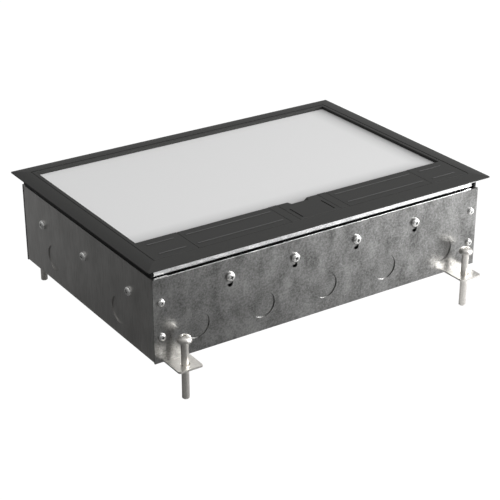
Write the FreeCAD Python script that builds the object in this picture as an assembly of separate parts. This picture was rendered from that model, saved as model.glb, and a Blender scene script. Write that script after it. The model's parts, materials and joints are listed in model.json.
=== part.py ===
"""Floor socket box: a galvanised back box on four levelling screws, with a height-adjustable deck of
45 mm wiring modules and a hinged lid that has two cable flaps and a lift handle.

Millimetres. X runs along the long side, Y from the cable flaps (front) to the lid hinge (back), Z up.
The origin is under the middle of the box, on the level of the levelling screws' tips.
Each sub-part is written to parts/NODE.step.
"""
import FreeCAD, Part
import os
from math import cos, radians, sin

from FreeCAD import Vector

# Back box
box_length = 320.0
box_width = 222.6
box_height = 71.3
sheet = 1.2
stand_height = 30.0
corner_flange = 14.0
bend_radius = 1.6
bend_relief = 2.5

# Knockouts: discs sheared most of the way through the sheet
knockout_radius = 11.3
knockout_shear = 0.8
knockout_height = 23.0
knockout_pitch = 61.0
end_knockout_offset = 56.0

# Levelling gear
bracket_width = 21.5
bracket_reach = 21.0
bracket_under_base = 18.0
bracket_thickness = 1.5
bracket_inset = 19.8
bracket_corner = 2.0
leveller_offset = 11.5
leveller_radius = 3.0
leveller_length = 50.0
leveller_head_radius = 5.9
leveller_head_height = 4.4
thread_clearance = 0.05
lead_in = 0.9

# Panel screws (M3) and height and frame screws (M4)
m3_radius = 1.5
m3_grip = 5.0
m3_head_radius = 3.1
m3_head_height = 2.0
m4_radius = 2.0
m4_length = 8.0
m4_head_radius = 4.0
m4_head_height = 2.7
m4_nut_radius = 4.0
m4_nut_height = 3.2
screw_clearance = 0.2
panel_screw_inset = 6.8
panel_screw_heights = (21.8, 51.0)
frame_screw_drop = 24.2
frame_screw_offset = 74.2

# Support frame and trim
trim_overhang_x = 7.0
trim_overhang_y = 6.3
trim_stand_off = 9.9
trim_edge = 0.9
trim_crown = 1.4
trim_corner = 1.0
lid_inset_x = 13.0
lid_inset_y = 13.6
frame_end_setback = 1.55
frame_side_setback = 4.0
frame_lip = 7.9
frame_flange = 8.8
frame_leg_width = 190.0
frame_leg_below_screw = 7.0
frame_corner_gap = 1.2
skirt_depth = 18.5
skirt_clearance = 0.05
fascia_thickness = 1.2
fascia_gap = 0.5
hook_reach = 1.0
hook_width = 16.0
hook_height = 2.1
hook_play = 0.1
hook_pitch = 90.0

# Lid
seam = 0.4
hinge_seam = 0.8
lid_depth = 8.0
lid_rim = 3.5
lid_floor = 2.0
lid_corner = 1.0
lid_edge_chamfer = 0.5
recess_depth = 2.55
infill_thickness = 1.5
infill_gap = 0.3
stiffener_thickness = 1.5
bar_depth = 34.1
skin = 2.5
hinge_axis_inset = 15.0
hinge_axis_depth = 4.5
hinge_pin_radius = 2.0
hinge_pin_grip = 2.5
running_clearance = 0.05
lid_opening = 110.0

# Ledge in the trim that the lid rests on
ledge_width = 5.0
ledge_thickness = 2.0
middle_ledge_width = 3.3
buffer_height = 1.1
buffer_gap = 0.2
buffer_length = 12.0
buffer_width = 4.0
buffer_pitch = 60.0
stop_gap = 0.3

# Cable flaps and handle
flap_inner = 28.4
flap_outer = 114.4
flap_thickness = 3.0
flap_pivot_depth = 1.6
flap_pivot_inset = 3.0
flap_pin_radius = 0.8
flap_pin_grip = 3.0
flap_rest_width = 3.0
flap_rest_depth = 2.6
flap_rest_length = 21.0
flap_rest_gap = 0.4
rib_thickness = 1.6
rib_depth = 2.0
handle_half_width = 20.0
handle_axis_inset = 8.0
handle_barrel_radius = 2.2
handle_pin_radius = 1.0
handle_lip_depth = 5.6
handle_lip_width = 6.5
handle_pocket_depth = 6.0
handle_floor_start = 16.0
handle_pin_grip = 6.5
notch_mouth = 19.2
notch_end = 16.6
notch_taper = 3.1
notch_depth = 4.5
handle_groove_offset = 15.6
handle_groove_width = 1.2
handle_groove_depth = 0.6
handle_groove_span = (3.7, 22.0)

# Grip ribs that stand on the lid's front bar
grip_width = 1.1
grip_height = 0.35
grip_rows = (7.6, 25.8)
flap_grip_margin = 3.2
end_grip_length = 24.0
end_grip_inset = 8.7

# Module deck
row_pitch = 61.0
rail_width = 10.0
rail_screw_drop = 15.3
rail_below_screw = 5.5
rail_stiffener = 6.5
rail_end_gap = 8.0
rail_slide_gap = 0.1
rail_tab_above_screw = 7.0
slot_width = 4.8
slot_play = 0.3
deck_drop = 6.0
tray_wall = 1.6
tray_width = 50.0
tray_length = 196.0
tray_flange = 1.5
tray_row_gap = 1.2
tray_sink = 17.5
tray_floor = 2.0
tray_opening_width = 42.0
tray_opening_length = 177.0
module_size = 44.8
module_pitch = 45.0
modules_per_row = 4
module_body = 41.0
socket_face = 5.0
socket_depth = 26.0
socket_radius = 19.5
socket_recess = 17.5
socket_pin_radius = 2.5
socket_pin_offset = 9.5
socket_pin_depth = 6.0
guide_width = 5.4
guide_reach = 2.2
clip_width = 4.0
clip_thickness = 0.8
clip_foot = 3.0
data_face = 3.0
data_depth = 19.0
jack_width = 14.0
jack_height = 11.5
jack_depth = 12.0
jack_offset = 10.5
blank_face = 2.0
blank_skirt = 8.0
blank_wall = 1.5

# Base fittings
divider_height = 33.0
divider_foot = 12.0
divider_length = 206.0
divider_window = 40.0
divider_sill = 14.0
fixing_hole_radius = 3.0
fixing_spacing_x = 260.0
fixing_spacing_y = 160.0
earth_stud_radius = 3.0
earth_stud_length = 16.0
earth_stud_x = 126.0
earth_nut_radius = 5.77
earth_nut_height = 5.0
washer_radius = 6.0
washer_thickness = 1.6

# Levels and lines that follow from the sizes above
base_z = stand_height
half_length = box_length / 2
half_width = box_width / 2
panel_inside = half_width - sheet
end_inside = half_length - sheet
trim_half_length = half_length + trim_overhang_x
trim_half_width = half_width + trim_overhang_y
trim_bottom = base_z + box_height + trim_stand_off
lid_top = trim_bottom + trim_edge + trim_crown
lid_half_length = trim_half_length - lid_inset_x
lid_half_width = trim_half_width - lid_inset_y
lid_front = -lid_half_width
bar_back = lid_front + bar_depth
well_half_length = lid_half_length + seam
well_front = lid_front - seam
well_back = lid_half_width + hinge_seam
hinge_y = lid_half_width - hinge_axis_inset
hinge_z = lid_top - hinge_axis_depth
flap_back = bar_back - seam
flap_axis_y = flap_back - flap_pivot_inset
flap_axis_z = lid_top - flap_pivot_depth
handle_axis_y = lid_front + handle_axis_inset
handle_axis_z = lid_top - handle_barrel_radius
frame_outside_x = half_length - frame_end_setback
frame_outside_y = half_width - frame_side_setback
skirt_outside_x = frame_outside_x - sheet - skirt_clearance
skirt_outside_y = frame_outside_y - sheet - skirt_clearance
skirt_bottom = lid_top - skirt_depth
frame_flange_bottom = trim_bottom - sheet
lip_bottom = frame_flange_bottom - frame_lip
ledge_top = lid_top - lid_depth - buffer_gap - buffer_height
ledge_bottom = ledge_top - ledge_thickness
recess_floor = lid_top - recess_depth - infill_thickness
lid_underside = recess_floor - lid_floor
frame_screw_z = base_z + box_height - frame_screw_drop
rail_screw_z = base_z + box_height - rail_screw_drop
deck_z = rail_screw_z - rail_below_screw
tray_floor_z = deck_z - tray_sink
rail_centres = [row_pitch * (i - 1.5) for i in range(4)]
row_centres = [row_pitch * (i - 1) for i in range(3)]
module_centres = [module_pitch * (i - (modules_per_row - 1) / 2) for i in range(modules_per_row)]
rail_end = panel_inside - rail_slide_gap


def block(x0, x1, y0, y1, z0, z1):
    return Part.makeBox(x1 - x0, y1 - y0, z1 - z0, Vector(x0, y0, z0))


def centred_block(x, y, width, length, z0, z1):
    return block(x - width / 2, x + width / 2, y - length / 2, y + length / 2, z0, z1)


def rod(radius, start, direction, length):
    return Part.makeCylinder(radius, length, Vector(*start), Vector(*direction))


def fused(pieces):
    return pieces[0].multiFuse(pieces[1:]).removeSplitter()


def cut_all(body, tools):
    return body.cut(Part.makeCompound(tools)).removeSplitter()


def flip_x(shape):
    return shape.mirror(Vector(0, 0, 0), Vector(1, 0, 0))


def flip_y(shape):
    return shape.mirror(Vector(0, 0, 0), Vector(0, 1, 0))


def prism(points, lift):
    """A straight-sided solid: the closed outline through the points, drawn out along lift."""
    wire = Part.makePolygon([Vector(*p) for p in points + points[:1]])
    return Part.Face(wire).extrude(Vector(*lift))


def upright_edges(shape, x_min=0.0, y_min=0.0):
    """Edges that run along Z and lie at least so far from the middle planes."""
    chosen = []
    for edge in shape.Edges:
        if len(edge.Vertexes) != 2:
            continue
        a, b = (v.Point for v in edge.Vertexes)
        if abs(a.x - b.x) < 1e-6 and abs(a.y - b.y) < 1e-6:
            if abs(a.x) >= x_min - 1e-6 and abs(a.y) >= y_min - 1e-6:
                chosen.append(edge)
    return chosen


def save(name, *solids):
    shape = solids[0] if len(solids) == 1 else Part.makeCompound(list(solids))
    shape.exportStep(f"parts/{name}.step")


def pan_screw(radius, length, head_radius, head_height, seat, outward, tip_chamfer=0.0):
    """A pan-head screw whose head bears on the seat point and stands outward from it."""
    out = Vector(*outward)
    point = Vector(*seat)
    rim = 0.45 * head_height
    crown = 0.72 * head_radius
    shank = Part.makeCylinder(radius, length - tip_chamfer, point, -out)
    head = Part.makeCylinder(head_radius, rim, point, out)
    dome = Part.makeCone(head_radius, crown, head_height - rim, point + out * rim, out)
    pieces = [shank, head, dome]
    if tip_chamfer:
        tip_start = point - out * (length - tip_chamfer)
        pieces.append(Part.makeCone(radius, radius - tip_chamfer / 2, tip_chamfer, tip_start, -out))
    return fused(pieces)


def hex_nut(corner_radius, height, hole_radius, start, direction, up):
    """A plain nut that stands on the start point along direction, with one corner towards up."""
    axis = Vector(*direction)
    first = Vector(*up)
    side = axis.cross(first)
    corners = []
    for i in range(6):
        turn = radians(60 * i)
        corner = Vector(*start) + first * (corner_radius * cos(turn)) + side * (corner_radius * sin(turn))
        corners.append(tuple(corner))
    body = prism(corners, tuple(axis * height))
    return body.cut(Part.makeCylinder(hole_radius, height, Vector(*start), axis))


def knockout(centre, inward):
    """Cutter and disc of one knockout: the disc is pushed inward by the sheared depth."""
    way = Vector(*inward)
    start = Vector(*centre)
    cutter = Part.makeCylinder(knockout_radius, knockout_shear, start, way)
    disc = Part.makeCylinder(knockout_radius, sheet, start + way * knockout_shear, way)
    return cutter, disc


def panel_screw_places():
    x = half_length - panel_screw_inset
    return [(side * x, base_z + z) for side in (-1, 1) for z in panel_screw_heights]


def make_base_tray():
    """Floor and end walls folded from one sheet, with flanges turned in for the side panels."""
    body = block(-half_length, half_length, -panel_inside, panel_inside, base_z, base_z + box_height)
    bends = upright_edges(body)
    for edge in body.Edges:
        a, b = (v.Point for v in edge.Vertexes)
        if abs(a.x - b.x) < 1e-6 and abs(a.z - base_z) < 1e-6 and abs(b.z - base_z) < 1e-6:
            bends.append(edge)
    body = body.makeFillet(bend_radius, bends)
    flange_inside = panel_inside - sheet
    box_top = base_z + box_height
    tools = [block(-end_inside, end_inside, -flange_inside, flange_inside, base_z + sheet, box_top)]
    for side in (-1, 1):
        y0, y1 = sorted((side * flange_inside, side * panel_inside))
        window = half_length - corner_flange
        tools.append(block(-window, window, y0, y1, base_z + sheet, base_z + box_height))
        for end in (-1, 1):
            x0, x1 = sorted((end * (half_length - corner_flange), end * (half_length - bend_relief)))
            tools.append(block(x0, x1, y0, y1, base_z + sheet, base_z + sheet + bend_relief))
            for z in panel_screw_heights:
                x = end * (half_length - panel_screw_inset)
                tools.append(rod(m3_radius, (x, y0, base_z + z), (0, 1, 0), sheet))
    for x in (-1, 1):
        for y in (-1, 1):
            foot = (x * fixing_spacing_x / 2, y * fixing_spacing_y / 2, base_z)
            tools.append(rod(fixing_hole_radius, foot, (0, 0, 1), sheet))
    tools.append(rod(earth_stud_radius, (earth_stud_x, 0, base_z), (0, 0, 1), sheet))
    discs = []
    for end in (-1, 1):
        inward = (-end, 0, 0)
        for y in (-end_knockout_offset, end_knockout_offset):
            cutter, disc = knockout((end * half_length, y, base_z + knockout_height), inward)
            tools.append(cutter)
            discs.append(disc)
        for y in (-frame_screw_offset, 0, frame_screw_offset):
            hole = (end * half_length, y, frame_screw_z)
            tools.append(rod(m4_radius + screw_clearance, hole, inward, sheet))
    save("base_tray", fused([cut_all(body, tools)] + discs))


def obround(x, y0, z0, z1, width, depth):
    """An upright slot cutter through a side panel, between the end-arc centres z0 and z1."""
    pieces = [block(x - width / 2, x + width / 2, y0, y0 + depth, z0, z1)]
    for z in (z0, z1):
        pieces.append(rod(width / 2, (x, y0, z), (0, 1, 0), depth))
    return fused(pieces)


def make_side_panels():
    """Flat front and back panels: five knockouts, four height slots and four screw holes each."""
    panel = block(-half_length, half_length, -half_width, -panel_inside, base_z, base_z + box_height)
    tools = []
    discs = []
    for i in range(-2, 3):
        cutter, disc = knockout((knockout_pitch * i, -half_width, base_z + knockout_height), (0, 1, 0))
        tools.append(cutter)
        discs.append(disc)
    for x in rail_centres:
        low = rail_screw_z - deck_drop - slot_play
        tools.append(obround(x, -half_width, low, rail_screw_z + slot_play, slot_width, sheet))
    for x, z in panel_screw_places():
        tools.append(rod(m3_radius + screw_clearance, (x, -half_width, z), (0, 1, 0), sheet))
    front = fused([cut_all(panel, tools)] + discs)
    save("front_panel", front)
    save("back_panel", flip_y(front))
    length = sheet + m3_grip
    screws = []
    for x, z in panel_screw_places():
        screw = pan_screw(m3_radius, length, m3_head_radius, m3_head_height, (x, -half_width, z), (0, -1, 0))
        screws += [screw, flip_y(screw)]
    save("panel_screws", *screws)


def make_levelling():
    """Four threaded plates welded under the base, and the screws that the box stands on."""
    x = half_length - bracket_inset
    y_out = -half_width - bracket_reach
    plate = centred_block(x, 0, bracket_width, 1, base_z - bracket_thickness, base_z)
    plate = block(x - bracket_width / 2, x + bracket_width / 2, y_out, -half_width + bracket_under_base,
                  base_z - bracket_thickness, base_z)
    plate = plate.makeFillet(bracket_corner, upright_edges(plate, y_min=-y_out))
    screw_y = -half_width - leveller_offset
    hole_radius = leveller_radius + thread_clearance
    hole = rod(hole_radius, (x, screw_y, base_z - bracket_thickness), (0, 0, 1), bracket_thickness)
    mouth = Part.makeCone(hole_radius, hole_radius + lead_in, lead_in,
                          Vector(x, screw_y, base_z - lead_in), Vector(0, 0, 1))
    bracket = cut_all(plate, [hole, mouth])
    save("levelling_brackets", bracket, flip_x(bracket), flip_y(bracket), flip_x(flip_y(bracket)))
    seat = (x, screw_y, leveller_length)
    screw = pan_screw(leveller_radius, leveller_length, leveller_head_radius, leveller_head_height,
                      seat, (0, 0, 1), tip_chamfer=1.0)
    save("leveller_front_right", screw)
    save("leveller_front_left", flip_x(screw))
    save("leveller_back_right", flip_y(screw))
    save("leveller_back_left", flip_x(flip_y(screw)))


def make_support_frame():
    """Galvanised frame under the trim: flanged lips at front and back, webs with wide legs at the ends."""
    out_y = frame_outside_y + frame_flange
    in_x = frame_outside_x - sheet
    in_y = frame_outside_y - sheet
    lip_x = in_x - frame_corner_gap
    half_leg = frame_leg_width / 2
    flange = block(-lip_x, lip_x, -out_y, -in_y, frame_flange_bottom, trim_bottom)
    tie = block(-frame_outside_x, frame_outside_x, -frame_outside_y, -in_y, frame_flange_bottom, trim_bottom)
    lip = block(-lip_x, lip_x, -frame_outside_y, -in_y, lip_bottom, frame_flange_bottom)
    web = block(in_x, frame_outside_x, -frame_outside_y, frame_outside_y, lip_bottom, trim_bottom)
    leg = block(in_x, frame_outside_x, -half_leg, half_leg, frame_screw_z - frame_leg_below_screw, lip_bottom)
    pieces = [web, flip_x(web), leg, flip_x(leg)]
    for piece in (flange, tie, lip):
        pieces += [piece, flip_y(piece)]
    holes = []
    screws = []
    nuts = []
    for end in (-1, 1):
        for y in (-frame_screw_offset, 0, frame_screw_offset):
            start = (end * in_x, y, frame_screw_z)
            holes.append(rod(m4_radius + thread_clearance, start, (end, 0, 0), sheet))
            screws.append(pan_screw(m4_radius, m4_length, m4_head_radius, m4_head_height,
                                    (end * half_length, y, frame_screw_z), (end, 0, 0)))
            nuts.append(hex_nut(m4_nut_radius, m4_nut_height, m4_radius + thread_clearance,
                                start, (-end, 0, 0), (0, 0, 1)))
    save("support_frame", cut_all(fused(pieces), holes))
    save("frame_screws", *screws)
    save("frame_nuts", *nuts)


def crowned_slab(half_span, length, along_x):
    """A slab whose top falls in an arc from the lid's seam to a thin edge at each side."""
    inner = half_span - (lid_inset_y if along_x else lid_inset_x)
    reach = half_span - inner
    edge_z = trim_bottom + trim_edge
    radius = (reach ** 2 + trim_crown ** 2) / (2 * trim_crown)
    turn = reach / radius / 2
    mid_s = inner + radius * sin(turn)
    mid_z = lid_top - radius * (1 - cos(turn))

    def at(s, z):
        return Vector(-length / 2, s, z) if along_x else Vector(s, -length / 2, z)

    edges = [
        Part.makeLine(at(-half_span, trim_bottom), at(half_span, trim_bottom)),
        Part.makeLine(at(half_span, trim_bottom), at(half_span, edge_z)),
        Part.Arc(at(half_span, edge_z), at(mid_s, mid_z), at(inner, lid_top)).toShape(),
        Part.makeLine(at(inner, lid_top), at(-inner, lid_top)),
        Part.Arc(at(-inner, lid_top), at(-mid_s, mid_z), at(-half_span, edge_z)).toShape(),
        Part.makeLine(at(-half_span, edge_z), at(-half_span, trim_bottom)),
    ]
    way = Vector(length, 0, 0) if along_x else Vector(0, length, 0)
    return Part.Face(Part.Wire(edges)).extrude(way)


def well(z0, z1):
    """The lid's clear opening in the trim."""
    return block(-well_half_length, well_half_length, well_front, well_back, z0, z1)


def make_trim():
    """Moulded trim: crowned ring over the floor finish, skirt, end fascias and the lid's ledge."""
    across = crowned_slab(trim_half_width, 2 * trim_half_length, True)
    along = crowned_slab(trim_half_length, 2 * trim_half_width, False)
    ring = across.common(along).cut(well(trim_bottom, lid_top))
    ring = ring.makeFillet(trim_corner, upright_edges(ring, trim_half_length, trim_half_width))
    skirt = block(-skirt_outside_x, skirt_outside_x, -skirt_outside_y, skirt_outside_y,
                  skirt_bottom, trim_bottom)
    skirt = skirt.cut(well(skirt_bottom, trim_bottom))
    pieces = [ring, skirt]
    fascia_x = frame_outside_x + skirt_clearance
    corner_y = frame_outside_y + skirt_clearance
    fascia_bottom = base_z + box_height + fascia_gap
    fascia = block(fascia_x, fascia_x + fascia_thickness, -corner_y - fascia_thickness,
                   corner_y + fascia_thickness, fascia_bottom, trim_bottom)
    cheek = block(skirt_outside_x, fascia_x, -corner_y - fascia_thickness, -corner_y,
                  fascia_bottom, trim_bottom)
    for piece in (fascia, cheek, flip_y(cheek)):
        pieces += [piece, flip_x(piece)]
    middle = flap_inner - seam
    corner = flap_outer + seam
    front_ledge = well_front + ledge_width
    pieces.append(block(-middle, middle, well_front, well_front + middle_ledge_width,
                        ledge_bottom, ledge_top))
    tail_reach = hinge_axis_inset
    tail_drop = lid_depth - hinge_axis_depth
    swing = radians(lid_opening)
    stop_y = hinge_y + tail_reach * cos(swing) - tail_drop * sin(swing) - stop_gap
    for side in (-1, 1):
        x0, x1 = sorted((side * corner, side * well_half_length))
        pieces.append(block(x0, x1, well_front, front_ledge, ledge_bottom, ledge_top))
        x0, x1 = sorted((side * (well_half_length - ledge_width), side * well_half_length))
        pieces.append(block(x0, x1, well_front, stop_y, ledge_bottom, ledge_top))
        pieces.append(block(x0, x1, stop_y - ledge_thickness, stop_y, skirt_bottom, ledge_bottom))
    hook_top = lip_bottom - hook_play
    hook = prism([(0, -skirt_outside_y, hook_top), (0, -skirt_outside_y - hook_reach, hook_top),
                  (0, -skirt_outside_y, hook_top - hook_height)], (hook_width, 0, 0))
    for i in (-1, 0, 1):
        placed = hook.translated(Vector(hook_pitch * i - hook_width / 2, 0, 0))
        pieces += [placed, flip_y(placed)]
    body = fused(pieces)
    hole_radius = hinge_pin_radius + running_clearance
    bore = rod(hole_radius, (-skirt_outside_x, hinge_y, hinge_z), (1, 0, 0), 2 * skirt_outside_x)
    save("trim_frame", body.cut(bore))
    pads = []
    for side in (-1, 1):
        x = side * (well_half_length - ledge_width / 2)
        for y in (-buffer_pitch, 0, buffer_pitch):
            pads.append(centred_block(x, y, buffer_width, buffer_length,
                                      ledge_top, ledge_top + buffer_height))
        x = side * (well_half_length + corner) / 2
        pads.append(centred_block(x, well_front + ledge_width / 2, buffer_length, buffer_width,
                                  ledge_top, ledge_top + buffer_height))
    save("lid_buffers", *pads)


def make_base_fittings():
    """Cable dividers, and the earth stud with its nuts and washer, on the floor of the box."""
    floor_z = base_z + sheet
    dividers = []
    half = divider_length / 2
    for side in (-1, 1):
        x = side * row_pitch / 2
        web = block(x - sheet / 2, x + sheet / 2, -half, half, floor_z, base_z + divider_height)
        for y in (-1, 1):
            window = centred_block(x, y * divider_length / 4, 2 * sheet, divider_window,
                                   base_z + divider_sill, base_z + divider_height)
            web = web.cut(window)
        x0, x1 = sorted((x, x + side * divider_foot))
        dividers.append(fused([web, block(x0, x1, -half, half, floor_z, floor_z + sheet)]))
    save("cable_dividers", *dividers)
    save("earth_stud", rod(earth_stud_radius, (earth_stud_x, 0, base_z), (0, 0, 1), earth_stud_length))
    hole = earth_stud_radius + thread_clearance
    washer_z = floor_z + earth_nut_height
    washer = rod(washer_radius, (earth_stud_x, 0, washer_z), (0, 0, 1), washer_thickness)
    fittings = [washer.cut(rod(hole, (earth_stud_x, 0, washer_z), (0, 0, 1), washer_thickness))]
    for z in (floor_z, washer_z + washer_thickness):
        fittings.append(hex_nut(earth_nut_radius, earth_nut_height, hole,
                                (earth_stud_x, 0, z), (0, 0, 1), (1, 0, 0)))
    save("earth_nuts", *fittings)


def make_rails():
    """Four cross rails with turned-up ends, held in the panels' slots by screws and nuts."""
    rails = []
    screws = []
    nuts = []
    tab_top = rail_screw_z + rail_tab_above_screw
    for x in rail_centres:
        half = rail_width / 2
        web = block(x - half, x + half, -rail_end, rail_end, deck_z - sheet, deck_z)
        pieces = [web]
        reach = rail_end - rail_end_gap
        for side in (-1, 1):
            x0, x1 = sorted((x + side * half, x + side * (half - sheet)))
            pieces.append(block(x0, x1, -reach, reach, deck_z - sheet - rail_stiffener, deck_z - sheet))
            y0, y1 = sorted((side * rail_end, side * (rail_end - sheet)))
            pieces.append(block(x - half, x + half, y0, y1, deck_z, tab_top))
            screws.append(pan_screw(m4_radius, m4_length, m4_head_radius, m4_head_height,
                                    (x, side * (half_width + rail_slide_gap), rail_screw_z), (0, side, 0)))
            nuts.append(hex_nut(m4_nut_radius, m4_nut_height, m4_radius + thread_clearance,
                                (x, side * (rail_end - sheet), rail_screw_z), (0, -side, 0), (0, 0, 1)))
        bore = rod(m4_radius + thread_clearance, (x, -rail_end, rail_screw_z), (0, 1, 0), 2 * rail_end)
        rails.append(fused(pieces).cut(bore))
    save("support_rails", *rails)
    save("rail_screws", *screws)
    save("rail_nuts", *nuts)


def make_trays():
    """One sunk tray for each row of modules, hung between two rails by its side flanges."""
    trays = []
    for x in row_centres:
        outer = centred_block(x, 0, tray_width, tray_length, tray_floor_z - tray_floor, deck_z + tray_flange)
        flange = centred_block(x, 0, row_pitch - tray_row_gap, tray_length, deck_z, deck_z + tray_flange)
        inner = centred_block(x, 0, tray_width - 2 * tray_wall, tray_length - 2 * tray_wall,
                              tray_floor_z, deck_z + tray_flange)
        opening = centred_block(x, 0, tray_opening_width, tray_opening_length,
                                tray_floor_z - tray_floor, tray_floor_z)
        trays.append(cut_all(fused([outer, flange]), [inner, opening]))
    save("module_trays", *trays)


def power_socket(x, y):
    """Earthed socket insert: a round recess with two pin holes and a guide rib at each side."""
    face = tray_floor_z + socket_face
    plate = centred_block(x, y, module_size, module_size, tray_floor_z, face)
    plate = plate.makeFillet(lid_corner, upright_edges(plate))
    body = centred_block(x, y, module_body, module_body, face - socket_depth, tray_floor_z)
    floor_z = face - socket_recess
    shell = fused([plate, body]).cut(rod(socket_radius, (x, y, floor_z), (0, 0, 1), socket_recess))
    ribs = []
    for side in (-1, 1):
        rib = centred_block(x + side * (socket_radius - guide_reach / 2), y, guide_reach, guide_width,
                            floor_z, face - guide_reach)
        ribs.append(rib)
    shell = fused([shell] + ribs)
    holes = []
    for side in (-1, 1):
        start = (x, y + side * socket_pin_offset, floor_z - socket_pin_depth)
        holes.append(rod(socket_pin_radius, start, (0, 0, 1), socket_pin_depth))
    return cut_all(shell, holes)


def earth_clips(x, y):
    """The two sprung earth contacts at the recess's sides, across from the guide ribs."""
    floor_z = tray_floor_z + socket_face - socket_recess
    top = tray_floor_z + socket_face - clip_foot
    clips = []
    for side in (-1, 1):
        edge = side * (socket_radius - clip_foot)
        strip = centred_block(x, y + edge, clip_width, clip_thickness, floor_z, top)
        foot = centred_block(x, y + edge - side * clip_foot / 2, clip_width, clip_foot,
                             floor_z, floor_z + clip_thickness)
        clips.append(fused([strip, foot]))
    return clips


def data_module(x, y):
    """Insert with two sunk data jacks."""
    face = tray_floor_z + data_face
    plate = centred_block(x, y, module_size, module_size, tray_floor_z, face)
    body = centred_block(x, y, module_body, module_body, tray_floor_z - data_depth, tray_floor_z)
    jacks = []
    for side in (-1, 1):
        jacks.append(centred_block(x, y + side * jack_offset, jack_width, jack_height,
                                   face - jack_depth, face))
    return cut_all(fused([plate, body]), jacks)


def blank_module(x, y):
    """Blanking insert: a cover with a skirt that clips into the tray."""
    face = tray_floor_z + blank_face
    plate = centred_block(x, y, module_size, module_size, tray_floor_z, face)
    skirt = centred_block(x, y, module_body, module_body, tray_floor_z - blank_skirt, tray_floor_z)
    inside = module_body - 2 * blank_wall
    hollow = centred_block(x, y, inside, inside, tray_floor_z - blank_skirt, tray_floor_z)
    return fused([plate, skirt.cut(hollow)])


def make_modules():
    """Four power sockets in the right row, two in the middle and data jacks in the left row."""
    left, middle, right = row_centres
    power = [(right, y) for y in module_centres] + [(middle, y) for y in module_centres[1:3]]
    data = [(left, y) for y in module_centres[1:3]]
    blanks = [(x, y) for x in (left, middle) for y in (module_centres[0], module_centres[3])]
    save("power_sockets", *[power_socket(x, y) for x, y in power])
    save("earth_clips", *[clip for x, y in power for clip in earth_clips(x, y)])
    save("data_modules", *[data_module(x, y) for x, y in data])
    save("blank_modules", *[blank_module(x, y) for x, y in blanks])


def grip_rib(x0, x1, row):
    """A low round-ended rib on the bar's top, between the two x values."""
    y = lid_front + row
    radius = grip_width / 2
    rib = block(x0 + radius, x1 - radius, y - radius, y + radius, lid_top, lid_top + grip_height)
    ends = [rod(radius, (x, y, lid_top), (0, 0, 1), grip_height) for x in (x0 + radius, x1 - radius)]
    return fused([rib] + ends)


def chamfer_top(shape, size, keep):
    """Chamfers the straight top edges that the keep function accepts."""
    edges = []
    for edge in shape.Edges:
        box = edge.BoundBox
        if abs(box.ZMin - lid_top) < 1e-6 and abs(box.ZMax - lid_top) < 1e-6 and keep(box):
            edges.append(edge)
    return shape.makeChamfer(size, edges)


def stiffener_screw_places():
    inset = 2 * lid_rim + m3_head_radius
    x_end = lid_half_length - lid_rim - infill_gap - inset
    rows = (bar_back + infill_gap + inset, lid_half_width - lid_rim - infill_gap - inset)
    return [(x, y) for x in (-x_end, 0, x_end) for y in rows]


def make_lid_frame():
    """Moulded lid: rim and floor round the sunk infill, and the front bar with its cut-outs."""
    bottom = lid_top - lid_depth
    body = block(-lid_half_length, lid_half_length, lid_front, lid_half_width, bottom, lid_top)
    body = body.makeFillet(lid_corner, upright_edges(body))
    body = chamfer_top(body, lid_edge_chamfer, lambda box: True)
    in_x = lid_half_length - lid_rim
    in_y = lid_half_width - lid_rim
    tools = [
        block(-in_x, in_x, bar_back, in_y, recess_floor, lid_top),
        block(-in_x, in_x, bar_back, in_y, bottom, lid_underside),
    ]
    cut_inner = flap_inner - seam / 2
    cut_outer = flap_outer + seam / 2
    pocket = handle_half_width + seam / 2
    tools.append(block(-pocket, pocket, lid_front, bar_back, lid_top - handle_pocket_depth, lid_top))
    tools.append(block(-pocket, pocket, lid_front, lid_front + handle_floor_start, bottom, lid_top))
    tools.append(rod(handle_pin_radius, (-pocket - handle_pin_grip, handle_axis_y, handle_axis_z),
                     (1, 0, 0), 2 * (pocket + handle_pin_grip)))
    for x, y in stiffener_screw_places():
        tools.append(rod(m3_radius + thread_clearance, (x, y, bottom), (0, 0, 1), lid_depth))
    added = []
    for side in (-1, 1):
        x0, x1 = sorted((side * cut_inner, side * cut_outer))
        tools.append(block(x0, x1, lid_front, bar_back, bottom, lid_top))
        tools.append(rod(flap_pin_radius, (x0 - flap_pin_grip, flap_axis_y, flap_axis_z),
                         (1, 0, 0), x1 - x0 + 2 * flap_pin_grip))
        x0, x1 = sorted((side * (cut_outer + skin + flap_pin_grip), side * in_x))
        tools.append(block(x0, x1, lid_front + lid_rim, bar_back - skin, bottom, lid_top - skin))
        x0, x1 = sorted((side * (lid_half_length - end_grip_inset),
                         side * (lid_half_length - end_grip_inset - end_grip_length)))
        added += [grip_rib(x0, x1, row) for row in grip_rows]
        pin_start = (side * (lid_half_length - hinge_pin_grip), hinge_y, hinge_z)
        tools.append(rod(hinge_pin_radius, pin_start, (side, 0, 0), hinge_pin_grip))
        rest_top = lid_top - flap_thickness - flap_rest_gap
        for x in (cut_inner + flap_rest_width / 2, cut_outer - flap_rest_width / 2):
            added.append(block(side * x - flap_rest_width / 2, side * x + flap_rest_width / 2,
                               lid_front + seam, lid_front + seam + flap_rest_length,
                               rest_top - flap_rest_depth, rest_top))
    save("lid_frame", fused([cut_all(body, tools)] + added))


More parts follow.
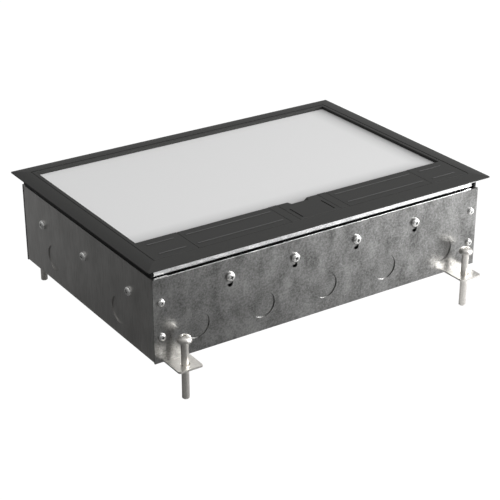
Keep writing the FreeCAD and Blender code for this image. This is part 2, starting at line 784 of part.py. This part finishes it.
def make_lid_fittings():
    """Infill plate, steel stiffener with its screws, and the lid's, flaps' and handle's pins."""
    in_x = lid_half_length - lid_rim - infill_gap
    y0 = bar_back + infill_gap
    y1 = lid_half_width - lid_rim - infill_gap
    infill = block(-in_x, in_x, y0, y1, recess_floor, recess_floor + infill_thickness)
    save("infill_plate", infill.makeFillet(lid_corner, upright_edges(infill)))
    under = lid_underside - stiffener_thickness
    plate = block(-in_x, in_x, y0, y1, under, lid_underside)
    screws = []
    holes = []
    for x, y in stiffener_screw_places():
        holes.append(rod(m3_radius + screw_clearance, (x, y, under), (0, 0, 1), stiffener_thickness))
        screws.append(pan_screw(m3_radius, stiffener_thickness + lid_floor, m3_head_radius,
                                m3_head_height, (x, y, under), (0, 0, -1)))
    save("lid_stiffener", cut_all(plate, holes))
    save("stiffener_screws", *screws)
    pins = []
    for side in (-1, 1):
        start = (side * (lid_half_length - hinge_pin_grip), hinge_y, hinge_z)
        length = skirt_outside_x - lid_half_length + hinge_pin_grip - 0.2
        pins.append(rod(hinge_pin_radius, start, (side, 0, 0), length))
    save("hinge_pins", *pins)
    flap_pins = []
    for side in (-1, 1):
        x0, x1 = sorted((side * (flap_inner - seam / 2), side * (flap_outer + seam / 2)))
        start = (x0 - flap_pin_grip, flap_axis_y, flap_axis_z)
        flap_pins.append(rod(flap_pin_radius, start, (1, 0, 0), x1 - x0 + 2 * flap_pin_grip))
    save("flap_pins", *flap_pins)
    reach = handle_half_width + seam / 2 + handle_pin_grip
    save("handle_pin", rod(handle_pin_radius, (-reach, handle_axis_y, handle_axis_z), (1, 0, 0), 2 * reach))


def make_flaps():
    """Two cable flaps: a ribbed plate that turns on a pin near its back edge."""
    x0 = flap_inner + seam / 2
    x1 = flap_outer - seam / 2
    under = lid_top - flap_thickness
    pieces = [block(x0, x1, lid_front, flap_back, under, lid_top)]
    pieces += [grip_rib(x0 + flap_grip_margin, x1 - flap_grip_margin, row) for row in grip_rows]
    for i in range(1, 4):
        x = x0 + (x1 - x0) * i / 4
        pieces.append(block(x - rib_thickness / 2, x + rib_thickness / 2, lid_front + ledge_width,
                            flap_axis_y, under - rib_depth, under))
    bore = rod(flap_pin_radius + running_clearance, (x0, flap_axis_y, flap_axis_z), (1, 0, 0), x1 - x0)
    flap = fused(pieces).cut(bore)
    save("right_cable_flap", flap)
    save("left_cable_flap", flip_x(flap))


def notch_outline(back, inset, z):
    """The finger notch's outline at one level, drawn in by the inset at each side."""
    mouth = notch_mouth / 2 - inset
    end = notch_end / 2 - inset
    corners = [(-mouth, back), (mouth, back), (end, back - notch_depth), (-end, back - notch_depth)]
    return Part.makePolygon([Vector(x, y, z) for x, y in corners + corners[:1]])


def make_handle():
    """Lift handle: turns on a pin near its front edge, with a finger notch in its back edge."""
    half = handle_half_width - seam / 2
    back = bar_back - seam
    plate = block(-half, half, lid_front, back, lid_top - flap_thickness, lid_top)
    plate = chamfer_top(plate, lid_edge_chamfer, lambda box: box.YMax < lid_front + 1)
    lip = block(-half, half, back - handle_lip_width, back,
                lid_top - handle_lip_depth, lid_top - flap_thickness)
    barrel = rod(handle_barrel_radius, (-half, handle_axis_y, handle_axis_z), (1, 0, 0), 2 * half)
    side = block(half - rib_thickness, half, handle_axis_y, back - handle_lip_width,
                 lid_top - handle_lip_depth, lid_top - flap_thickness)
    taper_z = lid_top - recess_depth
    upper = notch_outline(back, 0, lid_top)
    lower = notch_outline(back, notch_taper, taper_z)
    tools = [Part.makeLoft([upper, lower], True, True),
             Part.Face(lower).extrude(Vector(0, 0, -handle_lip_depth))]
    tools.append(rod(handle_pin_radius + running_clearance, (-half, handle_axis_y, handle_axis_z),
                     (1, 0, 0), 2 * half))
    for x in (-handle_groove_offset, handle_groove_offset):
        tools.append(block(x - handle_groove_width / 2, x + handle_groove_width / 2,
                           lid_front + handle_groove_span[0], lid_front + handle_groove_span[1],
                           lid_top - handle_groove_depth, lid_top))
    save("handle", cut_all(fused([plate, lip, barrel, side, flip_x(side)]), tools))


os.makedirs("parts", exist_ok=True)
make_base_tray()
make_side_panels()
make_levelling()
make_support_frame()
make_trim()
make_base_fittings()
make_rails()
make_trays()
make_modules()
make_lid_frame()
make_lid_fittings()
make_flaps()
make_handle()
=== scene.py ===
"""Looks of the floor socket box: finishes on the CAD nodes, driven screws, stage, lamps and camera."""

import bmesh, bpy, json
from math import cos, pi, radians, sin
from mathutils import Matrix, Vector

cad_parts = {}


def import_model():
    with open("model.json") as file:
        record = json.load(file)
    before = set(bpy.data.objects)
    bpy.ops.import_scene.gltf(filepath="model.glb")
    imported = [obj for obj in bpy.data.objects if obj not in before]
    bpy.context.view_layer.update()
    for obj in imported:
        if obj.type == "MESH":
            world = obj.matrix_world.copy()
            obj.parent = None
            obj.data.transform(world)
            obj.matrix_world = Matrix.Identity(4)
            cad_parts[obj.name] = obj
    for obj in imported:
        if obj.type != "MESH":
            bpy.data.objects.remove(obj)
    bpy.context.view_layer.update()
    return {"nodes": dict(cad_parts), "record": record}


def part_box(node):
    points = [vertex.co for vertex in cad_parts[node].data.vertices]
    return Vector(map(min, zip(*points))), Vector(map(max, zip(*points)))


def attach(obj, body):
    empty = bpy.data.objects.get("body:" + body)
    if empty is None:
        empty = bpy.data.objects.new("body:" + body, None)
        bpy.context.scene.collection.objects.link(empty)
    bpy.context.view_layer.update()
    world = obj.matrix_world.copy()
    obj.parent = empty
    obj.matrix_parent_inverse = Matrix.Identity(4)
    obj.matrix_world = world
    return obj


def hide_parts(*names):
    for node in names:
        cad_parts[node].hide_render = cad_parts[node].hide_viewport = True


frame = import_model()
nodes = frame["nodes"]

MM = 0.001
X, Y, Z = range(3)


# ---------------------------------------------------------------- materials

def tone(code):
    """An sRGB hex value as the linear colour that a shader socket takes."""
    channels = [int(code[i:i + 2], 16) / 255 for i in (1, 3, 5)]
    return [c / 12.92 if c <= 0.04045 else ((c + 0.055) / 1.055) ** 2.4 for c in channels] + [1.0]


def add_node(tree, kind, settings=(), links=()):
    """A shader node with its settings (an attribute or an input's name) and its incoming links."""
    made = tree.nodes.new(kind)
    for name, value in dict(settings).items():
        if isinstance(name, str) and hasattr(made, name):
            setattr(made, name, value)
        else:
            made.inputs[name].default_value = value
    for socket, source in dict(links).items():
        tree.links.new(source, made.inputs[socket])
    return made


def new_material(name):
    material = bpy.data.materials.new(name)
    material.use_nodes = True
    tree = material.node_tree
    return material, tree, tree.nodes["Principled BSDF"]


def object_place(tree):
    """Where a point lies on the piece, in metres."""
    return add_node(tree, "ShaderNodeTexCoord").outputs["Object"]


def axes_of(tree, place):
    """The X, Y and Z outputs of a place."""
    return add_node(tree, "ShaderNodeSeparateXYZ", {}, {"Vector": place}).outputs


def grains(tree, size_mm, detail=2.0, stretch=(1, 1, 1), roughness=0.5):
    """Soft noise whose grains are about size_mm across, longer along an axis with a stretch over 1."""
    scale = [1 / (size_mm * MM * s) for s in stretch]
    mapped = add_node(tree, "ShaderNodeMapping", {"Scale": scale}, {"Vector": object_place(tree)})
    noise = add_node(tree, "ShaderNodeTexNoise",
                     {"Scale": 1.0, "Detail": detail, "Roughness": roughness},
                     {"Vector": mapped.outputs["Vector"]})
    return noise.outputs["Fac"]


def spread(tree, source, low, high, start=0.3, end=0.7):
    """Maps a pattern's middle range onto low to high."""
    mapped = add_node(tree, "ShaderNodeMapRange",
                      {"From Min": start, "From Max": end, "To Min": low, "To Max": high}, {"Value": source})
    return mapped.outputs["Result"]


def blend_tones(tree, source, dark, light, start=0.3, end=0.7):
    ramp = add_node(tree, "ShaderNodeValToRGB", {}, {"Fac": source})
    ramp.color_ramp.elements[0].position = start
    ramp.color_ramp.elements[0].color = tone(dark)
    ramp.color_ramp.elements[1].position = end
    ramp.color_ramp.elements[1].color = tone(light)
    return ramp.outputs["Color"]


def relief(tree, shader, source, depth_mm, strength=1.0):
    bump = add_node(tree, "ShaderNodeBump", {"Distance": depth_mm * MM, "Strength": strength},
                    {"Height": source})
    tree.links.new(bump.outputs["Normal"], shader.inputs["Normal"])


# Zinc's cloudy drifts: their size and upright stretch, their weight beside the grains, and the range of
# the sum of both that runs from the dark to the light shade.
DRIFT_MM, DRIFT_STRETCH, DRIFT_SHARE = 14.0, 1.6, 0.9
MOTTLE_RANGE = (0.64, 1.26)


def galvanised(name, dark, light, grain_mm, streak=1.0, shine=(0.30, 0.40)):
    """Hot-dip galvanised steel sheet: small frosty zinc grains over broad cloudy drifts, each grain with
    its own satin gloss. A streak over 1 draws the grains out upright, as rolled sheet has them."""
    material, tree, shader = new_material(name)
    crystals = grains(tree, grain_mm, 4.0, (1, 1, streak), 0.55)
    drift = grains(tree, DRIFT_MM, 4.0, (1, 1, DRIFT_STRETCH))
    both = add_node(tree, "ShaderNodeMath", {"operation": "MULTIPLY_ADD", 1: DRIFT_SHARE},
                    {0: drift, 2: crystals}).outputs[0]
    mottle = spread(tree, both, 0, 1, *MOTTLE_RANGE)
    tree.links.new(blend_tones(tree, mottle, dark, light, 0, 1), shader.inputs["Base Color"])
    tree.links.new(spread(tree, crystals, shine[1], shine[0]), shader.inputs["Roughness"])
    shader.inputs["Metallic"].default_value = 1.0
    relief(tree, shader, crystals, 0.02, 0.35)
    return material


def zinc_plated_steel():
    """Bright zinc-plated steel, cold headed and barrel plated: smooth and glossy, with painted shade
    that darkens it deep in the recesses, such as the cross recesses."""
    material, tree, shader = new_material("bright zinc plated steel")
    recess_reach = 1.6 * MM
    # Painted shade: an ambient occlusion mask darkens the colour towards #2E2E2D inside recesses.
    recess_shade_ao = add_node(tree, "ShaderNodeAmbientOcclusion",
                        {"only_local": True, "samples": 8, "Distance": recess_reach}).outputs["AO"]
    colour = blend_tones(tree, recess_shade_ao, "#2E2E2D", "#F4F4F2", 0.30, 0.85)
    tree.links.new(colour, shader.inputs["Base Color"])
    shader.inputs["Metallic"].default_value = 1.0
    tree.links.new(spread(tree, grains(tree, 1.5), 0.20, 0.29), shader.inputs["Roughness"])
    return material


def satin_zinc_steel():
    """Dull zinc-plated steel of the levelling gear: satin, slightly warm, with a faint drawn grain."""
    material, tree, shader = new_material("satin zinc plated steel")
    fine = grains(tree, 1.2, 3.0)
    tree.links.new(blend_tones(tree, fine, "#D8D5D0", "#ECE9E4"), shader.inputs["Base Color"])
    tree.links.new(spread(tree, fine, 0.30, 0.42), shader.inputs["Roughness"])
    shader.inputs["Metallic"].default_value = 1.0
    return material


def moulded_plastic(name, shade, gloss=0.42, grit_mm=0.5, other=None, level=0.0):
    """Injection-moulded ABS with a spark-eroded grain: matt, with a soft sheen at low angles. The real grain
    is about 0.1 mm and would not show, so it is drawn coarser. A second shade takes over above the level:
    a painted highlight on the lid's rib tops, or the trim ring's own grey over a skirt painted near-black as
    shade."""
    material, tree, shader = new_material(name)
    fine = grains(tree, grit_mm, 2.0)
    shader.inputs["Base Color"].default_value = tone(shade)
    if other:
        soft = 0.1 * MM
        height = axes_of(tree, object_place(tree))["Z"]
        above = spread(tree, height, 0, 1, level - soft, level + soft)
        tree.links.new(blend_tones(tree, above, shade, other, 0, 1), shader.inputs["Base Color"])
    shader.inputs["Specular IOR Level"].default_value = 0.14
    tree.links.new(spread(tree, fine, gloss - 0.04, gloss + 0.06), shader.inputs["Roughness"])
    relief(tree, shader, fine, 0.01, 0.4)
    return material


def coated_sheet():
    """Powder-coated cover sheet of the lid: pale grey satin with a barely seen orange-peel, greyed
    by painted shade along the front and right edges, standing in for the rim's shadow."""
    material, tree, shader = new_material("pale grey powder coat")
    peel = grains(tree, 1.6, 2.0)
    place = axes_of(tree, object_place(tree))
    low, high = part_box("infill_plate")
    # Painted shade: within about 20 mm of the front and right edges the colour runs down to #A4A4A4.
    inside, outside = 20 * MM, 4 * MM
    front = spread(tree, place["Y"], 0, 1, low.y - outside, low.y + inside)
    right = spread(tree, place["X"], 1, 0, high.x - inside, high.x + outside)
    edge_shade_reach = add_node(tree, "ShaderNodeMath", {"operation": "MINIMUM"}, {0: front, 1: right}).outputs[0]
    painted_edge_shade = add_node(tree, "ShaderNodeMath", {"operation": "POWER", 1: 0.6}, {0: edge_shade_reach}).outputs[0]
    tree.links.new(blend_tones(tree, painted_edge_shade, "#A4A4A4", "#D9D9D9", 0, 1), shader.inputs["Base Color"])
    shader.inputs["Roughness"].default_value = 0.5
    relief(tree, shader, peel, 0.01, 0.25)
    return material


def soft_rubber():
    """Pressed EPDM rubber: black and dull."""
    material, tree, shader = new_material("EPDM rubber")
    shader.inputs["Base Color"].default_value = tone("#1C1C1C")
    shader.inputs["Roughness"].default_value = 0.8
    return material


def plain_brass():
    """Turned brass, a little dulled."""
    material, tree, shader = new_material("turned brass")
    shader.inputs["Base Color"].default_value = tone("#C9A860")
    shader.inputs["Metallic"].default_value = 1.0
    tree.links.new(spread(tree, grains(tree, 2.0), 0.25, 0.38), shader.inputs["Roughness"])
    return material


lid_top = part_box("trim_frame")[1].z
rib_tops = lid_top + 0.2 * MM
trim_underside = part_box("support_frame")[1].z

finishes = {
    "galvanised_steel": galvanised("galvanised sheet", "#5F5F5E", "#ACACAB", 1.4, 1.0, (0.27, 0.34)),
    "plated_steel": zinc_plated_steel(),
    "levelling_steel": satin_zinc_steel(),
    # Painted shade: below the trim's underside the skirt is coloured near-black #0C0C0C for the shade in the
    # gap; #333332 above is the trim's own grey.
    "trim_plastic": moulded_plastic("dark grey ABS trim", "#0C0C0C", other="#333332", level=trim_underside),
    # Painted highlight: above the rib tops' level the lid is coloured lighter, #4E4E4E, where light catches
    # the ribs.
    "lid_plastic": moulded_plastic("dark grey ABS lid", "#333332", other="#4E4E4E", level=rib_tops),
    "infill_metal": coated_sheet(),
    "buffer_rubber": soft_rubber(),
    "earth_brass": plain_brass(),
    "tray_plastic": moulded_plastic("dark grey ABS trays", "#333333"),
    "module_plastic": moulded_plastic("white ASA inserts", "#EDEDEA", 0.28, 0.8),
}

# The end walls' sheet was rolled along the height. Both are lit copies of the same galvanised sheet in
# painted light: the end walls painted lighter than the front's sheet, the trim's frame near white as a
# painted highlight.
node_finishes = {
    "base_tray": galvanised("rolled galvanised sheet painted lighter", "#A9A8A6", "#C4C3C1", 0.7, 14.0),
    "support_frame": galvanised("galvanised sheet with painted highlight", "#BCBDBF", "#FFFFFF", 1.5, 1.0, (0.32, 0.44)),
}

for part in frame["record"]["subparts"]:
    mesh = nodes[part["node"]].data
    mesh.materials.clear()
    mesh.materials.append(node_finishes.get(part["node"], finishes[part["material_slot"]]))


# ---------------------------------------------------------------- driven screws

# Shares of the head's height: how far the crown's rounding reaches, and how deep the shank runs into it.
CROWN, SHANK_ROOT = 0.82, 0.2
TIP_CHAMFER = 0.16          # a share of the shank's radius
RECESS_FLOOR = (0.35, 0.7, 1.0)     # the recess's floor against its mouth
FACING = 0.9                # the normal's share along Z that picks a flat end
FIRST_TURN, NEXT_TURN = 13, 67      # degrees that a row's first cross is turned by, and each next one more
SMOOTH_ANGLE = 35


def fresh(name):
    """Names the object that an operator has just made and puts its place into its mesh."""
    piece = bpy.context.object
    piece.name = piece.data.name = name
    bpy.ops.object.transform_apply(location=True, rotation=True, scale=True)
    return piece


def pick_faces(piece, wanted):
    """Leaves edit mode's selection on the faces that the wanted function accepts."""
    bpy.ops.object.mode_set(mode="EDIT")
    bpy.ops.mesh.select_mode(type="FACE")
    bpy.ops.mesh.select_all(action="DESELECT")
    bpy.ops.object.mode_set(mode="OBJECT")
    for face in piece.data.polygons:
        face.select = wanted(face)
    bpy.ops.object.mode_set(mode="EDIT")


def only(piece):
    bpy.ops.object.select_all(action="DESELECT")
    piece.select_set(True)
    bpy.context.view_layer.objects.active = piece


def combine(body, tool, operation):
    """Adds the tool to the body or cuts it away, and removes the tool."""
    modifier = body.modifiers.new(operation.lower(), "BOOLEAN")
    modifier.object = tool
    modifier.operation = operation
    modifier.solver = "EXACT"
    only(body)
    bpy.ops.object.modifier_apply(modifier=modifier.name)
    bpy.data.objects.remove(tool)


def cylinder(name, radius, low, high, sides=48):
    bpy.ops.object.select_all(action="DESELECT")
    bpy.ops.mesh.primitive_cylinder_add(vertices=sides, radius=radius, depth=high - low,
                                        location=(0, 0, (low + high) / 2))
    return fresh(name)


def pan_screw(name, radius, head_radius, head_height, length, recess):
    """A pan-head screw along +Z with its seat at the origin: rounded crown, cross recess, chamfered tip."""
    screw = cylinder(name, head_radius, 0, head_height)
    pick_faces(screw, lambda face: face.normal.z > FACING)
    bpy.ops.mesh.bevel(offset=CROWN * head_height, segments=7, profile=0.5, affect="EDGES")
    bpy.ops.object.mode_set(mode="OBJECT")
    shank = cylinder("shank", radius, -length, SHANK_ROOT * head_height, 32)
    pick_faces(shank, lambda face: face.normal.z < -FACING)
    bpy.ops.mesh.bevel(offset=TIP_CHAMFER * radius, segments=1, affect="EDGES")
    bpy.ops.object.mode_set(mode="OBJECT")
    combine(screw, shank, "UNION")
    width, reach, depth = recess
    for turn in (0, pi / 2):
        bpy.ops.object.select_all(action="DESELECT")
        bpy.ops.mesh.primitive_cube_add(size=1.0, location=(0, 0, head_height),
                                        scale=(reach, width, 2 * depth))
        arm = fresh("recess arm")
        pick_faces(arm, lambda face: face.normal.z < -FACING)
        bpy.ops.transform.resize(value=RECESS_FLOOR, center_override=(0, 0, 0))
        bpy.ops.object.mode_set(mode="OBJECT")
        arm.data.transform(Matrix.Rotation(turn, 4, "Z"))
        combine(screw, arm, "DIFFERENCE")
    only(screw)
    bpy.ops.object.shade_smooth_by_angle(angle=radians(SMOOTH_ANGLE))
    return screw


def islands(node):
    """The lowest and highest corner of each separate solid of a CAD node."""
    shape = bmesh.new()
    shape.from_mesh(nodes[node].data)
    bmesh.ops.remove_doubles(shape, verts=shape.verts, dist=1e-6)
    left = set(shape.verts)
    found = []
    while left:
        reach = [left.pop()]
        members = []
        while reach:
            vertex = reach.pop()
            members.append(vertex.co.copy())
            for edge in vertex.link_edges:
                other = edge.other_vert(vertex)
                if other in left:
                    left.remove(other)
                    reach.append(other)
        low = Vector([min(c[i] for c in members) for i in range(3)])
        high = Vector([max(c[i] for c in members) for i in range(3)])
        found.append((low, high))
    shape.free()
    return sorted(found, key=lambda pair: tuple(round(c, 5) for c in pair[0]))


def body_of(node):
    return next(name for name, held in frame["record"]["behaviour"]["bodies"].items() if node in held)


def slot_of(node):
    return next(part["material_slot"] for part in frame["record"]["subparts"] if part["node"] == node)


def drive_screws(node, axis, head, recess):
    """Puts a detailed screw over each solid of a screw node. The heads of screws that lie along X or Y point
    out from the middle, the levellers' heads point up and the heads of the other upright screws down."""
    head_radius, head_height, radius = head
    low, high = islands(node)[0]
    length = (high - low)[axis] - head_height
    master = pan_screw(node + " master", radius, head_radius, head_height, length, recess)
    heads_up = node.startswith("leveller")
    copies = []
    for i, (low, high) in enumerate(islands(node)):
        middle = (low + high) / 2
        out = Vector((0, 0, 0))
        out[axis] = 1.0 if heads_up or (axis != Z and middle[axis] > 0) else -1.0
        seat = middle + out * ((high - low)[axis] / 2 - head_height)
        cross = Matrix.Rotation(radians(FIRST_TURN + NEXT_TURN * i), 3, "Z")
        turn = out.to_track_quat("Z", "Y").to_matrix() @ cross
        copy = master.copy()
        copy.data = master.data.copy()
        copy.data.transform(Matrix.Translation(seat) @ turn.to_4x4())
        bpy.context.collection.objects.link(copy)
        copies.append(copy)
    bpy.data.objects.remove(master)
    only(copies[0])
    for copy in copies:
        copy.select_set(True)
    if len(copies) > 1:
        bpy.ops.object.join()
    piece = copies[0]
    piece.name = piece.data.name = "driven_" + node
    piece.data.materials.clear()
    piece.data.materials.append(finishes[slot_of(node)])
    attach(piece, body_of(node))
    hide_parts(node)


# Heads and cross recesses by size: head radius, head height and shank radius, then width, reach and depth.
M3 = ((3.1 * MM, 2.0 * MM, 1.5 * MM), (0.75 * MM, 3.1 * MM, 1.2 * MM))
M4 = ((4.0 * MM, 2.7 * MM, 2.0 * MM), (1.05 * MM, 4.8 * MM, 1.9 * MM))
M6 = ((5.9 * MM, 4.4 * MM, 3.0 * MM), (1.30 * MM, 6.6 * MM, 2.6 * MM))
drive_screws("panel_screws", Y, *M3)
drive_screws("rail_screws", Y, *M4)
drive_screws("frame_screws", X, *M4)
drive_screws("stiffener_screws", Z, *M3)
for corner in ("front_left", "front_right", "back_left", "back_right"):
    drive_screws("leveller_" + corner, Z, *M6)


# ---------------------------------------------------------------- stage, lamps and camera

FLOOR_SIZE = 12.0
SWEEP_WAY = (1.0, 0.4, 0.0)         # the direction in which the floor's painted shade, seen only in reflections and bounced light, gets lighter
SWEEP_RANGE = (-0.25, 0.3)          # metres along it from the dark to the light shade
FLOOR_GLOW, GLOW_SHARE = 1.04, 0.97     # what the camera sees of the floor is nearly all plain white
MIX_A, MIX_B, MIX_RESULT = 6, 7, 2      # a colour Mix node's sockets, whose names repeat for each data type
AIM = (0, 0, 0.06)                  # what the lamps point at
AIR_BY_HEIGHT = (0.30, 0.72)        # the air's strength from just over the horizon to overhead
AIR_BY_SIDE = (0.6, 1.4)            # and its factor from far left to far right
EYE = (-0.6196, -0.9356, 0.5725)
AZIMUTH, ELEVATION, ROLL = -33.54, 25.36, -0.055        # degrees
LENS_MM, SENSOR_MM = 102.4, 36.0


def camera_rays(tree):
    """1 for what the camera sees itself, 0 for light and reflections."""
    return add_node(tree, "ShaderNodeLightPath").outputs["Is Camera Ray"]


def floor():
    """Seamless pale floor that shows white where nothing shades it. To reflections and bounced light it is
    painted shade, dark grey at the left and white at the right.
    """
    bpy.ops.mesh.primitive_plane_add(size=FLOOR_SIZE, location=(0, 0, 0))
    sheet = bpy.context.object
    sheet.name = "studio floor"
    material, tree, shader = new_material("white studio floor")
    shader.inputs["Roughness"].default_value = 1.0
    shader.inputs["Specular IOR Level"].default_value = 0.0
    across = add_node(tree, "ShaderNodeVectorMath", {"operation": "DOT_PRODUCT", 1: SWEEP_WAY},
                      {0: object_place(tree)}).outputs["Value"]
    # Painted shade: for rays other than the camera's the floor runs from #6C6C6C at the left to white at the
    # right.
    painted_floor_shade = blend_tones(tree, spread(tree, across, 0, 1, *SWEEP_RANGE), "#6C6C6C", "#FFFFFF", 0, 1)
    white = add_node(tree, "ShaderNodeEmission", {"Strength": FLOOR_GLOW}).outputs["Emission"]
    seen = camera_rays(tree)
    plain = add_node(tree, "ShaderNodeMix", {"data_type": "RGBA", MIX_B: (1, 1, 1, 1)},
                     {"Factor": seen, MIX_A: painted_floor_shade})
    tree.links.new(plain.outputs[MIX_RESULT], shader.inputs["Base Color"])
    share = add_node(tree, "ShaderNodeMath", {"operation": "MULTIPLY", 1: GLOW_SHARE}, {0: seen}).outputs[0]
    mixed = add_node(tree, "ShaderNodeMixShader", {}, {0: share, 1: shader.outputs["BSDF"], 2: white})
    tree.links.new(mixed.outputs["Shader"], tree.nodes["Material Output"].inputs["Surface"])
    sheet.data.materials.append(material)


def lamp(name, place, size, power):
    bpy.ops.object.light_add(type="AREA", location=place)
    light = bpy.context.object
    light.name = name
    light.data.shape = "RECTANGLE"
    light.data.size, light.data.size_y = size
    light.data.energy = power
    way = Vector(AIM) - Vector(place)
    light.rotation_euler = way.to_track_quat("-Z", "Y").to_euler()


def world():
    """Studio air: bright overhead and to the right, dim at the horizon, plain white to the camera."""
    shade = bpy.data.worlds.new("studio air")
    bpy.context.scene.world = shade
    shade.use_nodes = True
    tree = shade.node_tree
    back = tree.nodes["Background"]
    way = axes_of(tree, add_node(tree, "ShaderNodeTexCoord").outputs["Generated"])
    height = spread(tree, way["Z"], *AIR_BY_HEIGHT, 0.1, 1.0)
    side = spread(tree, way["X"], *AIR_BY_SIDE, -1.0, 1.0)
    glow = add_node(tree, "ShaderNodeMath", {"operation": "MULTIPLY"}, {0: height, 1: side}).outputs[0]
    strength = add_node(tree, "ShaderNodeMix", {"data_type": "FLOAT", "B": 1.0},
                        {"Factor": camera_rays(tree), "A": glow})
    back.inputs["Color"].default_value = (1, 1, 1, 1)
    tree.links.new(strength.outputs["Result"], back.inputs["Strength"])


def camera():
    """At the height and side that the product is shown from, with a long portrait lens."""
    azimuth, elevation = radians(AZIMUTH), radians(ELEVATION)
    back = Vector((sin(azimuth) * cos(elevation), -cos(azimuth) * cos(elevation), sin(elevation)))
    bpy.ops.object.camera_add(location=EYE)
    eye = bpy.context.object
    turn = back.to_track_quat("Z", "Y").to_matrix() @ Matrix.Rotation(radians(ROLL), 3, "Z")
    eye.rotation_euler = turn.to_euler()
    eye.data.lens = LENS_MM
    eye.data.sensor_width = SENSOR_MM
    bpy.context.scene.camera = eye


bpy.context.scene.view_settings.view_transform = "Standard"
floor()
world()
# Each lamp's place and size are in metres and its power in watts.
lamp("soft top", (-0.2, 0.3, 1.9), (1.2, 1.2), 3)
lamp("front right box", (0.9, -1.1, 1.0), (1.2, 1.2), 11)
lamp("right side", (1.3, -1.2, 0.4), (0.9, 0.6), 42)
camera()
